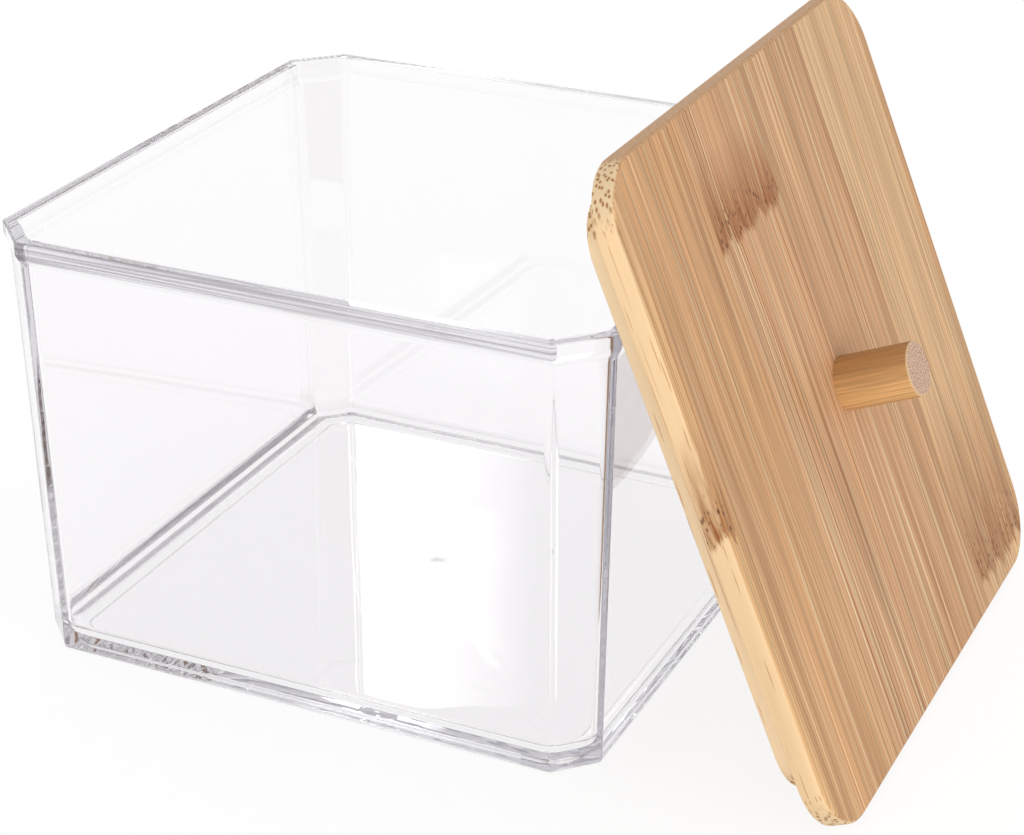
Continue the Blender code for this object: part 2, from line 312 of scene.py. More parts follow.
def eased(corners, steps):
    """Rounds the corners of a profile: (half width, height, rounding, corner radius or its two ends)."""
    points = []
    last = len(corners) - 1
    for i, (half, height, ease, radius) in enumerate(corners):
        start, end = radius if isinstance(radius, tuple) else (radius, radius)
        if ease == 0 or i in (0, last):
            points.append((half, height, start))
            continue
        here = Vector((half, height))
        back = (Vector(corners[i - 1][:2]) - here).normalized()
        ahead = (Vector(corners[i + 1][:2]) - here).normalized()
        opening = back.angle(ahead)
        reach = ease / math.tan(opening / 2)
        middle = here + (back + ahead).normalized() * ease / math.sin(opening / 2)
        first = here + back * reach - middle
        final = here + ahead * reach - middle
        turn = first.angle(final)
        for k in range(steps + 1):
            share = k / steps
            arm = (first * math.sin((1 - share) * turn) + final * math.sin(share * turn)) / math.sin(turn)
            points.append((middle.x + arm.x, middle.y + arm.y, start + (end - start) * share))
    return points


def as_square(points):
    """Sections of a square with rounded corners."""
    return [(half, ROOT_TWO * (half - radius) + radius, height, radius) for half, height, radius in points]


def as_circle(points):
    """Sections of a turned piece."""
    return [(half, half, height, half) for half, height, _ in points]


def loft(name, sections, steps, finish, place):
    """Runs the loft tree on the sections and returns a plain mesh object with its place in its mesh."""
    guide_mesh = bpy.data.meshes.new(name + "_sections")
    guide_mesh.from_pydata([section[:3] for section in sections], [], [])
    radii = guide_mesh.attributes.new("corner_radius", "FLOAT", "POINT")
    radii.data.foreach_set("value", [section[3] for section in sections])
    guide = bpy.data.objects.new(name + "_guide", guide_mesh)
    bpy.context.scene.collection.objects.link(guide)
    tree = bpy.data.node_groups.get("Rounded loft") or loft_tree()
    sockets = {item.name: item.identifier for item in tree.interface.items_tree if item.in_out == "INPUT"}
    skin = guide.modifiers.new("Rounded loft", "NODES")
    skin.node_group = tree
    skin[sockets["Corner steps"]] = steps
    skin[sockets["Merge"]] = 0.000001
    skin[sockets["Finish"]] = finish
    evaluated = guide.evaluated_get(bpy.context.evaluated_depsgraph_get())
    mesh = bpy.data.meshes.new_from_object(evaluated)
    bpy.data.objects.remove(guide)
    mesh.name = name
    mesh.transform(place)
    piece = bpy.data.objects.new(name, mesh)
    bpy.context.scene.collection.objects.link(piece)
    return piece


def keep_flats(piece):
    """Weights the normals by area, so that flats stay flat between their rounded edges."""
    weights = piece.modifiers.new("Flat faces", "WEIGHTED_NORMAL")
    weights.mode = "FACE_AREA"
    weights.keep_sharp = True


def new_material(name):
    """A material without nodes, and the node helper bound to its tree."""
    material = bpy.data.materials.new(name)
    material.use_nodes = True
    material.node_tree.nodes.clear()
    return material, functools.partial(node, material.node_tree)


def lid_millimetres(add):
    """The lid's directions in millimetres, down the slope, across it and out of the face, and the normal."""
    source = add("ShaderNodeTexCoord")
    local = add("ShaderNodeMapping", {
        "Vector": source.outputs["Object"],
        "Location": LID_MIDDLE,
        "Rotation": (0, LID_LEAN, 0),
        "Scale": (0.001, 0.001, 0.001),
    }, vector_type="TEXTURE")
    place = add("ShaderNodeSeparateXYZ", {0: local}).outputs
    return place["X"], place["Y"], place["Z"], source.outputs["Normal"]


def stretched(add, x, y, z, scale):
    """The coordinates, each times its own scale: a pattern is drawn out where the scale is small."""
    whole = add("ShaderNodeCombineXYZ", {0: x, 1: y, 2: z})
    return add("ShaderNodeVectorMath", {0: whole, 1: scale}, operation="MULTIPLY")


def clear_polystyrene(finishes, sizes):
    """Clear polystyrene, injection moulded in a polished mould: glass-like, with faint waves of the flow.

    Through a wall it is all but invisible. Along a rim or the base, where light runs for centimetres inside
    the plastic, its faint grey tint and the waves give the soft grey bands. The front of the lip has painted
    shade: a greyer colour, with lines along it, as the photograph shows it.
    """
    material, add = new_material("Clear polystyrene, moulded")
    place = add("ShaderNodeTexCoord").outputs["Object"]
    waves = add("ShaderNodeTexNoise", {"Vector": place, "Scale": 45.0, "Detail": 2.0, "Roughness": 0.4})
    bump = add("ShaderNodeBump", {"Strength": 1.0, "Distance": 0.00003, "Height": waves})

    # The front of the lip and its two cut corners, within 0.6 mm of their faces and from the flare upwards,
    # get painted grey shade
    centred = add("ShaderNodeVectorMath", {0: place, 1: BOX_MIDDLE}, operation="SUBTRACT")
    part = add("ShaderNodeSeparateXYZ", {0: centred}).outputs
    ahead = add("ShaderNodeMath", {0: part["Y"], 1: -1.0}, operation="MULTIPLY")
    sideways = add("ShaderNodeMath", {0: part["X"]}, operation="ABSOLUTE")
    diagonal = add("ShaderNodeMath", {0: ahead, 1: sideways}, operation="ADD")
    diagonal = add("ShaderNodeMath", {0: diagonal, 1: (sizes.corner_leg - sizes.side) / 2}, operation="ADD")
    out = add("ShaderNodeMath", {0: ahead, 1: diagonal}, operation="MAXIMUM")
    outside = add("ShaderNodeMath", {0: out, 1: sizes.side / 2 - 0.0006}, operation="GREATER_THAN")
    lip_foot = sizes.height - sizes.lip_height
    high = add("ShaderNodeMapRange", {
        "Value": part["Z"], "From Min": lip_foot - 0.0017, "From Max": lip_foot - 0.0007,
    }, interpolation_type="SMOOTHSTEP")
    lip = add("ShaderNodeMath", {0: outside, 1: high}, operation="MULTIPLY")
    lines = add("ShaderNodeTexNoise", {
        "Vector": add("ShaderNodeVectorMath", {0: place, 1: (25, 25, 3500)}, operation="MULTIPLY"),
        "Scale": 1.0, "Detail": 2.0,
    })
    depth = add("ShaderNodeMapRange", {
        "Value": lines, "From Min": 0.38, "From Max": 0.62, "To Min": 0.3, "To Max": 1.0,
    })
    lip = add("ShaderNodeMath", {0: lip, 1: depth}, operation="MULTIPLY")
    # Painted shade: the masked front of the lip is mixed towards grey
    body = add("ShaderNodeMix", {
        "Factor": lip, "A": finishes.plastic, "B": finishes.lip_front_painted_shade,
    }, data_type="RGBA")
    shader = add("ShaderNodeBsdfPrincipled", {
        "Base Color": body, "Roughness": 0.0, "IOR": 1.59, "Transmission Weight": 1.0, "Normal": bump,
    })
    tint = add("ShaderNodeVolumeAbsorption", {"Color": finishes.inner_tint, "Density": 5.5})
    add("ShaderNodeOutputMaterial", {"Surface": shader, "Volume": tint})
    return material


def pressed_bamboo(finishes, strip):
    """Bamboo strips, glued side by side: long fibre bundles, brown joints and cream sawn edges."""
    material, add = new_material("Pressed bamboo, sanded")
    x, y, z, normal = lid_millimetres(add)
    index = add("ShaderNodeMath", {0: y, 1: strip * 1000}, operation="DIVIDE")
    index = add("ShaderNodeMath", {0: index}, operation="FLOOR")

    # Joints of the cane: place along the grain in mm, strip, length of the tail above in mm, depth of tone
    joints = [(-35.0, -1, 13.0, 0.95), (49.0, 1, 34.0, 0.85), (0.0, -3, 16.0, 1.0)]
    ragged = add("ShaderNodeTexNoise", {
        "Vector": stretched(add, index, y, z, (3.7, 0.55, 0.55)), "Scale": 1.0, "Detail": 3.0,
    })
    ragged = add("ShaderNodeMapRange", {"Value": ragged, "To Min": -4.0, "To Max": 4.0})
    from_joint = add("ShaderNodeMath", {0: x, 1: ragged}, operation="ADD")
    jointed = 0.0
    for place, strip_index, tail, depth in joints:
        same = add("ShaderNodeMath", {0: index, 1: strip_index, 2: 0.1}, operation="COMPARE")
        same = add("ShaderNodeMath", {0: same, 1: depth}, operation="MULTIPLY")
        rise = add("ShaderNodeMapRange", {"Value": from_joint, "From Min": place - tail, "From Max": place})
        fall = add("ShaderNodeMapRange", {
            "Value": from_joint, "From Min": place + 1.2, "From Max": place + 3.0,
            "To Min": 1.0, "To Max": 0.0,
        }, interpolation_type="SMOOTHSTEP")
        brown = add("ShaderNodeMath", {0: rise, 1: fall}, operation="MULTIPLY")
        jointed = add("ShaderNodeMath", {0: brown, 1: same, 2: jointed}, operation="MULTIPLY_ADD")
    at_joint = add("ShaderNodeMapRange", {
        "Value": jointed, "From Min": 0.5, "From Max": 0.95,
    }, interpolation_type="SMOOTHSTEP")

    # Fibre bundles: cells 0.6 mm apart across the grain, drawn out along it, that sway more near a joint
    sway = add("ShaderNodeTexNoise", {
        "Vector": stretched(add, x, y, index, (0.022, 0.07, 2.3)), "Scale": 1.0, "Detail": 1.0,
    })
    swing = add("ShaderNodeMapRange", {"Value": jointed, "To Min": 1.6, "To Max": 2.6})
    sway = add("ShaderNodeMath", {0: sway, 1: swing}, operation="MULTIPLY")
    across = add("ShaderNodeMath", {0: y, 1: sway}, operation="ADD")
    shift = add("ShaderNodeMath", {0: index, 1: 700.0, 2: x}, operation="MULTIPLY_ADD")
    cells = add("ShaderNodeTexVoronoi", {
        "Vector": stretched(add, shift, across, z, (0.012, 1.6, 1.6)), "Scale": 1.0,
    })
    bundle = add("ShaderNodeMapRange", {
        "Value": cells, "From Min": 0.12, "From Max": 0.36, "To Min": 1.0, "To Max": 0.0,
    }, interpolation_type="SMOOTHSTEP")
    sparse = add("ShaderNodeTexVoronoi", {
        "Vector": stretched(add, shift, across, z, (0.009, 0.42, 0.42)), "Scale": 1.0,
    })
    vein = add("ShaderNodeMapRange", {
        "Value": sparse, "From Min": 0.05, "From Max": 0.13, "To Min": 1.0, "To Max": 0.0,
    }, interpolation_type="SMOOTHSTEP")

    # Single fibres, pale streaks of pith between the bundles, and slow changes of tone within a strip
    fine = add("ShaderNodeTexNoise", {
        "Vector": stretched(add, shift, across, z, (0.02, 3.6, 3.6)),
        "Scale": 1.0, "Detail": 2.0, "Roughness": 0.6,
    })
    pith = add("ShaderNodeTexNoise", {
        "Vector": stretched(add, shift, across, z, (0.010, 1.9, 1.9)), "Scale": 1.0, "Detail": 1.0,
    })
    slow = add("ShaderNodeTexNoise", {
        "Vector": stretched(add, shift, across, z, (0.014, 0.22, 0.22)), "Scale": 1.0, "Detail": 2.0,
    })

    # Tone of each strip from the near side to the far side; the alpha is how strongly its fibres show
    tones = [
        ("DAAC7A", 0.45), ("D2A173", 0.60), ("D2A278", 0.95),
        ("CC9C72", 0.75), ("DDB386", 0.60), ("D2A273", 0.60),
    ]
    strip_number = add("ShaderNodeMath", {0: index, 1: 3.5}, operation="ADD")
    strip_number = add("ShaderNodeMath", {0: strip_number, 1: len(tones)}, operation="DIVIDE")
    strip_tone = add("ShaderNodeValToRGB", {0: strip_number})
    ramp = strip_tone.color_ramp
    ramp.interpolation = "CONSTANT"
    for i, (code, strength) in enumerate(tones):
        stop = ramp.elements[i] if i < 2 else ramp.elements.new(i / len(tones))
        stop.position = i / len(tones)
        stop.color = (*hex_colour(code)[:3], strength)
    showing = add("ShaderNodeMath", {0: bundle, 1: strip_tone.outputs["Alpha"]}, operation="MULTIPLY")
    face = add("ShaderNodeMix", {
        "Factor": showing, "A": strip_tone.outputs["Color"], "B": finishes.fibre,
    }, data_type="RGBA")
    pale = add("ShaderNodeMapRange", {
        "Value": pith, "From Min": 0.55, "From Max": 0.68,
    }, interpolation_type="SMOOTHSTEP")
    pale = add("ShaderNodeMath", {0: pale, 1: strip_tone.outputs["Alpha"]}, operation="MULTIPLY")
    face = add("ShaderNodeMix", {"Factor": pale, "A": face, "B": finishes.pith}, data_type="RGBA")
    fine_level = add("ShaderNodeMapRange", {
        "Value": fine, "From Min": 0.38, "From Max": 0.62, "To Min": 0.79, "To Max": 1.21,
    })
    slow_level = add("ShaderNodeMapRange", {
        "Value": slow, "From Min": 0.3, "From Max": 0.7, "To Min": 0.90, "To Max": 1.10,
    })
    level = add("ShaderNodeMath", {0: fine_level, 1: slow_level}, operation="MULTIPLY")
    face = add("ShaderNodeHueSaturation", {"Color": face, "Value": level})
    faint = add("ShaderNodeMath", {0: vein, 1: 0.55}, operation="MULTIPLY")
    face = add("ShaderNodeMix", {"Factor": faint, "A": face, "B": finishes.node}, data_type="RGBA")

    # Sawn long edges are cream, with thin brown lines and short nicks along the grain; painted light makes
    # the plug's edge palest
    thin = add("ShaderNodeMapRange", {
        "Value": cells, "From Min": 0.10, "From Max": 0.26, "To Min": 0.5, "To Max": 0.0,
    }, interpolation_type="SMOOTHSTEP")
    nicks = add("ShaderNodeTexVoronoi", {
        "Vector": stretched(add, shift, across, z, (0.06, 1.7, 1.7)), "Scale": 1.0,
    })
    nicks = add("ShaderNodeMapRange", {
        "Value": nicks, "From Min": 0.12, "From Max": 0.22, "To Min": 0.6, "To Max": 0.0,
    }, interpolation_type="SMOOTHSTEP")
    thin = add("ShaderNodeMath", {0: thin, 1: nicks}, operation="MAXIMUM")
    # Painted light: the plug's edge, which the board's overhang shades, is mixed towards the paler plug
    # colour
    plug = add("ShaderNodeMapRange", {
        "Value": z, "From Min": -0.6, "From Max": 0.1, "To Min": 0.8, "To Max": 0.0,
    })
    edge = add("ShaderNodeMix", {"Factor": plug, "A": finishes.edge, "B": finishes.plug}, data_type="RGBA")
    edge = add("ShaderNodeMix", {"Factor": thin, "A": edge, "B": finishes.edge_line}, data_type="RGBA")
    edge = add("ShaderNodeHueSaturation", {"Color": edge, "Value": slow_level})
    side_way = add("ShaderNodeSeparateXYZ", {0: normal}).outputs["Y"]
    side_way = add("ShaderNodeMath", {0: side_way}, operation="ABSOLUTE")
    side = add("ShaderNodeMapRange", {
        "Value": side_way, "From Min": 0.45, "From Max": 0.8,
    }, interpolation_type="SMOOTHSTEP")
    shown = add("ShaderNodeMix", {"Factor": side, "A": face, "B": edge}, data_type="RGBA")

    # Joints over faces and long edges alike: streaky brown, with dark pits along the joint itself
    streak = add("ShaderNodeTexNoise", {
        "Vector": stretched(add, shift, across, z, (0.10, 1.5, 1.5)), "Scale": 1.0, "Detail": 3.0,
    })
    streak = add("ShaderNodeMapRange", {
        "Value": streak, "From Min": 0.38, "From Max": 0.62, "To Min": 0.4, "To Max": 0.95,
    })
    brown = add("ShaderNodeMath", {0: jointed, 1: streak}, operation="MULTIPLY")
    shown = add("ShaderNodeMix", {"Factor": brown, "A": shown, "B": finishes.node}, data_type="RGBA")
    pits = add("ShaderNodeTexVoronoi", {
        "Vector": stretched(add, x, across, z, (0.55, 1.25, 1.25)), "Scale": 1.0,
    })
    pits = add("ShaderNodeMapRange", {
        "Value": pits, "From Min": 0.16, "From Max": 0.32, "To Min": 0.85, "To Max": 0.0,
    }, interpolation_type="SMOOTHSTEP")
    pits = add("ShaderNodeMath", {0: pits, 1: at_joint}, operation="MULTIPLY")
    shown = add("ShaderNodeMix", {"Factor": pits, "A": shown, "B": finishes.pit}, data_type="RGBA")

    # Sawn ends: brown pores in cream on the rounded corners, and a plain tan on the straight part between
    # them
    end_way = add("ShaderNodeVectorMath", {0: normal, 1: LID_TURN.col[0].to_3d()}, operation="DOT_PRODUCT")
    end_way = add("ShaderNodeMath", {0: end_way}, operation="ABSOLUTE")
    end = add("ShaderNodeMapRange", {
        "Value": end_way, "From Min": 0.22, "From Max": 0.6,
    }, interpolation_type="SMOOTHSTEP")
    straight = add("ShaderNodeMapRange", {
        "Value": side_way, "From Min": 0.08, "From Max": 0.3, "To Min": 0.85, "To Max": 0.0,
    }, interpolation_type="SMOOTHSTEP")
    cut = add("ShaderNodeTexVoronoi", {
        "Vector": stretched(add, across, z, 0.0, (1.15, 1.15, 1)), "Scale": 1.0,
    }, voronoi_dimensions="2D")
    pore = add("ShaderNodeMapRange", {
        "Value": cut, "From Min": 0.14, "From Max": 0.38, "To Min": 0.85, "To Max": 0.0,
    }, interpolation_type="SMOOTHSTEP")
    end_tone = add("ShaderNodeMix", {
        "Factor": pore, "A": finishes.end_grain, "B": finishes.pore,
    }, data_type="RGBA")
    end_tone = add("ShaderNodeMix", {
        "Factor": straight, "A": end_tone, "B": finishes.straight_end_tan,
    }, data_type="RGBA")
    shown = add("ShaderNodeMix", {"Factor": end, "A": shown, "B": end_tone}, data_type="RGBA")

    relief = add("ShaderNodeMath", {0: bundle, 1: -0.6, 2: fine}, operation="MULTIPLY_ADD")
    relief = add("ShaderNodeMath", {0: pits, 1: -1.5, 2: relief}, operation="MULTIPLY_ADD")
    bump = add("ShaderNodeBump", {"Strength": 0.7, "Distance": 0.00007, "Height": relief})
    rough = add("ShaderNodeMapRange", {
        "Value": fine, "From Min": 0.3, "From Max": 0.7, "To Min": 0.48, "To Max": 0.62,
    })
    shader = add("ShaderNodeBsdfPrincipled", {
        "Base Color": shown, "Roughness": rough, "IOR": 1.45, "Specular IOR Level": 0.25, "Normal": bump,
    })
    add("ShaderNodeOutputMaterial", {"Surface": shader})
    return material


def bamboo_dowel(finishes):
    """Bamboo dowel, turned from split cane: painted shade above, painted light below, fine pores at its end.
    """
    material, add = new_material("Bamboo dowel, turned")
    x, y, z, normal = lid_millimetres(add)
    cells = add("ShaderNodeTexVoronoi", {
        "Vector": stretched(add, x, y, 0.0, (2.4, 2.4, 1)), "Scale": 1.0,
    }, voronoi_dimensions="2D")
    bundle = add("ShaderNodeMapRange", {
        "Value": cells, "From Min": 0.16, "From Max": 0.46, "To Min": 1.0, "To Max": 0.0,
    }, interpolation_type="SMOOTHSTEP")
    sparse = add("ShaderNodeTexVoronoi", {
        "Vector": stretched(add, x, y, z, (0.9, 0.9, 0.02)), "Scale": 1.0,
    })
    vein = add("ShaderNodeMapRange", {
        "Value": sparse, "From Min": 0.12, "From Max": 0.24, "To Min": 0.9, "To Max": 0.0,
    }, interpolation_type="SMOOTHSTEP")
    fine = add("ShaderNodeTexNoise", {
        "Vector": stretched(add, x, y, z, (2.6, 2.6, 0.06)), "Scale": 1.0, "Detail": 3.0,
    })

    radius = KNOB_RADIUS * 1000
    # Painted shade up the slope and painted light down it, as the light falls on the dowel's side
    below = add("ShaderNodeMapRange", {
        "Value": x, "From Min": -radius, "From Max": radius * 0.5,
    }, interpolation_type="SMOOTHSTEP")
    skin = add("ShaderNodeMix", {
        "Factor": below, "A": finishes.dowel_painted_shade, "B": finishes.dowel_painted_light,
    }, data_type="RGBA")
    skin = add("ShaderNodeMix", {"Factor": vein, "A": skin, "B": finishes.node}, data_type="RGBA")
    level = add("ShaderNodeMapRange", {
        "Value": fine, "From Min": 0.3, "From Max": 0.7, "To Min": 0.78, "To Max": 1.22,
    })
    skin = add("ShaderNodeHueSaturation", {"Color": skin, "Value": level})

    # The sawn end is pinkish and densely pored, and its eased edge is pale
    end_way = add("ShaderNodeVectorMath", {0: normal, 1: LID_TURN.col[2].to_3d()}, operation="DOT_PRODUCT")
    end = add("ShaderNodeMapRange", {
        "Value": end_way, "From Min": 0.85, "From Max": 0.97,
    }, interpolation_type="SMOOTHSTEP")
    eased_edge = add("ShaderNodeMapRange", {
        "Value": end_way, "From Min": 0.15, "From Max": 0.5,
    }, interpolation_type="SMOOTHSTEP")
    pore = add("ShaderNodeMath", {0: bundle, 1: 0.75}, operation="MULTIPLY")
    end_tone = add("ShaderNodeMix", {
        "Factor": pore, "A": finishes.dowel_end, "B": finishes.dowel_pore,
    }, data_type="RGBA")
    shown = add("ShaderNodeMix", {
        "Factor": eased_edge, "A": skin, "B": finishes.dowel_rim,
    }, data_type="RGBA")
    shown = add("ShaderNodeMix", {"Factor": end, "A": shown, "B": end_tone}, data_type="RGBA")
    relief = add("ShaderNodeMath", {0: bundle, 1: -0.6, 2: fine}, operation="MULTIPLY_ADD")
    bump = add("ShaderNodeBump", {"Strength": 0.5, "Distance": 0.00005, "Height": relief})
    shader = add("ShaderNodeBsdfPrincipled", {
        "Base Color": shown, "Roughness": 0.5, "IOR": 1.45, "Specular IOR Level": 0.35, "Normal": bump,
    })
    add("ShaderNodeOutputMaterial", {"Surface": shader})
    return material


def zinc_steel(finishes):
    """Zinc-plated steel: a cold-formed screw with a thin bright plating, slightly cloudy."""
    material, add = new_material("Zinc-plated steel")
    place = add("ShaderNodeTexCoord").outputs["Object"]
    cloud = add("ShaderNodeTexNoise", {"Vector": place, "Scale": 900.0, "Detail": 2.0})
    rough = add("ShaderNodeMapRange", {
        "Value": cloud, "From Min": 0.3, "From Max": 0.7, "To Min": 0.24, "To Max": 0.42,
    })
    shader = add("ShaderNodeBsdfPrincipled", {
        "Base Color": finishes.zinc, "Metallic": 1.0, "Roughness": rough,
    })
    add("ShaderNodeOutputMaterial", {"Surface": shader})
    return material


def floor_paper(finishes):
    """Matt paper, seen as white also through the box, with the object's shadow left on it."""
    material, add = new_material("White paper, matt")
    path = add("ShaderNodeLightPath").outputs
    seen = add("ShaderNodeMath", {0: path["Is Camera Ray"], 1: path["Is Glossy Ray"]}, operation="ADD")
    seen = add("ShaderNodeMath", {0: seen, 1: path["Is Transmission Ray"]}, operation="ADD", use_clamp=True)
    plain = add("ShaderNodeBsdfDiffuse", {"Color": finishes.floor})
    shaded = add("ShaderNodeBsdfDiffuse", {"Color": (0.22, 0.22, 0.22, 1)})
    glow = add("ShaderNodeEmission", {"Color": (1, 1, 1, 1), "Strength": 0.845})
    white = add("ShaderNodeAddShader", {0: shaded, 1: glow})
    surface = add("ShaderNodeMixShader", {0: seen, 1: plain, 2: white})
    add("ShaderNodeOutputMaterial", {"Surface": surface})
    return material


class STORAGEBOX_OT_shell(bpy.types.Operator):
    """Lofts the clear box: underside, foot, wall, flared lip, rim land, rebate, inner wall and floor"""

    bl_idname = "storage_box.shell"
    bl_label = "Clear Box"

    def execute(self, context):
        sizes = context.scene.storage_box
        half = sizes.side / 2
        foot = sizes.draw_in + sizes.foot_width
        flare_foot = sizes.height - sizes.lip_height - sizes.lip_flare
        ledge = sizes.height - sizes.rebate
        inner = sizes.lip_proud + sizes.wall
        floor_lean = (sizes.draw_in - sizes.lip_proud) * sizes.floor / flare_foot
        floor_inner = sizes.draw_in - floor_lean + sizes.wall
        outer = sizes.outer_corner
        inside = sizes.inner_corner

        below = [
            (foot + sizes.foot_step, sizes.foot_step, 0, sizes.foot_corner),
            (foot, 0, sizes.foot_edge, sizes.foot_corner),
            (sizes.draw_in, 0, sizes.base_edge, outer),
            (sizes.lip_proud, flare_foot, 0, outer),
        ]
        flare = []
        flare_rings = 12
        for k in range(1, flare_rings):
            share = k / flare_rings
            swing = (1 - math.cos(math.pi * share)) / 2
            flare.append((sizes.lip_proud * (1 - swing), flare_foot + sizes.lip_flare * share, 0, outer))
        above = [
            (0, sizes.height - sizes.lip_height, 0, outer),
            (0, sizes.height, sizes.rim_edge, outer),
            (sizes.rim_land, sizes.height, sizes.rim_edge, inside),
            (sizes.rim_land, ledge, sizes.rebate_round, inside),
            (inner, ledge - sizes.rebate_slope, sizes.rebate_round, inside),
            (inner, flare_foot, 0, inside),
            (floor_inner, sizes.floor, sizes.floor_fillet, (inside, sizes.floor_corner)),
            (half, sizes.floor, 0, 0),
        ]
        corners = [(half - inset, z, ease, radius) for inset, z, ease, radius in below + flare + above]
        cut = (sizes.side - sizes.corner_leg) / ROOT_TWO - half
        sections = [(h, h + cut, z, r) for h, z, r in eased(corners, steps=8)[:-1]]

        # The gate's dimple under the middle of the floor is a smooth dish
        gate = []
        gate_rings = 8
        for k in range(gate_rings + 1):
            share = k / gate_rings
            rise = sizes.gate_depth * (1 + math.cos(math.pi * share)) / 2
            gate.append((sizes.gate_radius * share, sizes.foot_step + rise, 0))
        sections = as_circle(gate) + sections + [(0, 0, sizes.floor, 0)]
        finish = clear_polystyrene(context.scene.storage_finishes, sizes)
        place = Matrix.Translation(BOX_MIDDLE)
        piece = loft("clear_box_shell", sections, steps=8, finish=finish, place=place)
        keep_flats(piece)
        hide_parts("clear_box")
        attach(piece, "box")
        return {"FINISHED"}


class STORAGEBOX_OT_panel(bpy.types.Operator):
    """Lofts the bamboo lid panel: plug, rebate, board and the countersunk hole for the knob's screw"""

    bl_idname = "storage_box.lid_panel"
    bl_label = "Lid Panel"

    def execute(self, context):
        sizes = context.scene.storage_lid
        knob = context.scene.storage_knob
        half = sizes.side / 2
        plug_half = half - sizes.plug_inset
        plug_corner = sizes.corner - sizes.plug_inset / 2
        head = SCREW_HEAD + knob.head_rim
        cone_top = SCREW_HEAD + knob.head_depth
        play = sizes.hole - knob.shank

        # The first and the last ring lie on the flats, where the skin runs in to the hole
        plug_flat = 0.002
        face_flat = 0.004
        outline = [
            (plug_half - plug_flat, -sizes.plug, 0, plug_corner - plug_flat),
            (plug_half, -sizes.plug, sizes.back_ease, plug_corner),
            (plug_half, 0, sizes.rebate_round, plug_corner),
            (half, 0, sizes.back_ease, sizes.corner),
            (half, sizes.board, sizes.face_ease, sizes.corner),
            (half - face_flat, sizes.board, 0, sizes.corner - face_flat),
        ]
        hole = [
            (sizes.hole, sizes.board, 0),
            (sizes.hole, cone_top + play, 0),
            (knob.head_radius + play, head + play, 0),
            (knob.head_radius + play, -sizes.plug, 0),
        ]
        sections = as_circle(hole[-1:]) + as_square(eased(outline, steps=6)) + as_circle(hole)
        finish = pressed_bamboo(context.scene.storage_finishes, sizes.strip)
        piece = loft("bamboo_lid_panel", sections, steps=10, finish=finish, place=LID_PLACE)
        keep_flats(piece)
        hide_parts("lid_panel")
        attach(piece, "lid")
        return {"FINISHED"}


class STORAGEBOX_OT_knob(bpy.types.Operator):
    """Turns the dowel knob with its eased end and the blind pilot hole"""

    bl_idname = "storage_box.knob"
    bl_label = "Dowel Knob"

    def execute(self, context):
        sizes = context.scene.storage_knob
        foot = context.scene.storage_lid.board + sizes.seat
        bore_top = SCREW_TIP + sizes.bore - sizes.shank
        profile = [
            (0, bore_top, 0, 0),
            (sizes.bore, bore_top, 0, 0),
            (sizes.bore, foot, 0, 0),
            (sizes.radius, foot, 0, 0),
            (sizes.radius, sizes.top, sizes.chamfer, 0),
            (0, sizes.top, 0, 0),
        ]
        finish = bamboo_dowel(context.scene.storage_finishes)
        sections = as_circle(eased(profile, steps=6))
        piece = loft("dowel_knob", sections, steps=11, finish=finish, place=LID_PLACE)
        keep_flats(piece)
        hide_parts("knob")
        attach(piece, "lid")
        return {"FINISHED"}


def cut_recess(piece, arm, width, depth, finish):
    """Cuts a tapered cross into the head of the screw."""
    side = width / 2
    clearance = 0.0002
    taper = 0.55
    quarter = [Vector((arm, -side)), Vector((arm, side)), Vector((side, side))]
    outline = [Matrix.Rotation(math.pi / 2 * k, 2) @ point for k in range(4) for point in quarter]
    points = [LID_PLACE @ Vector((p.x, p.y, SCREW_HEAD - clearance)) for p in outline]
    points += [LID_PLACE @ Vector((p.x * taper, p.y * taper, SCREW_HEAD + depth)) for p in outline]
    count = len(outline)
    walls = [(k, (k + 1) % count, (k + 1) % count + count, k + count) for k in range(count)]
    mesh = bpy.data.meshes.new("recess")
    mesh.from_pydata(points, [], [*walls, tuple(reversed(range(count))), tuple(range(count, 2 * count))])
    mesh.materials.append(finish)
    cutter = bpy.data.objects.new("recess", mesh)
    bpy.context.scene.collection.objects.link(cutter)
    cut = piece.modifiers.new("Cross recess", "BOOLEAN")
    cut.operation = "DIFFERENCE"
    cut.solver = "EXACT"
    cut.object = cutter
    result = bpy.data.meshes.new_from_object(piece.evaluated_get(bpy.context.evaluated_depsgraph_get()))
    piece.modifiers.clear()
    piece.data = result
    bpy.data.objects.remove(cutter)


class STORAGEBOX_OT_screw(bpy.types.Operator):
    """Turns the countersunk screw that holds the knob"""

    bl_idname = "storage_box.screw"
    bl_label = "Knob Screw"

    def execute(self, context):
        sizes = context.scene.storage_knob
        rim_round = 0.0001
        neck_round = 0.0004
        shoulder_round = 0.0003
        profile = [
            (0, SCREW_HEAD, 0, 0),
            (sizes.head_radius, SCREW_HEAD, rim_round, 0),
            (sizes.head_radius, SCREW_HEAD + sizes.head_rim, rim_round, 0),
            (sizes.shank, SCREW_HEAD + sizes.head_depth, neck_round, 0),
            (sizes.shank, SCREW_TIP - sizes.point, shoulder_round, 0),
            (0, SCREW_TIP, 0, 0),
        ]
        finish = zinc_steel(context.scene.storage_finishes)
        sections = as_circle(eased(profile, steps=4))
        piece = loft("countersunk_screw", sections, steps=5, finish=finish, place=LID_PLACE)
        cut_recess(piece, sizes.recess_arm, sizes.recess_width, sizes.recess_depth, finish)
        keep_flats(piece)
        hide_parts("knob_screw")
        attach(piece, "lid")
        return {"FINISHED"}


def softbox(name, place, aim, width, height, radiance):
    """A rectangular softbox whose face shines evenly with the given radiance, where 1 is white."""
    light = bpy.data.lights.new(name, "AREA")
    light.shape = "RECTANGLE"
    light.size = width
    light.size_y = height
    light.energy = radiance * math.pi * width * height
    lamp = bpy.data.objects.new(name, light)
    bpy.context.scene.collection.objects.link(lamp)
    lamp.location = place
    lamp.rotation_euler = (Vector(aim) - Vector(place)).to_track_quat("-Z", "Y").to_euler()
    return lamp


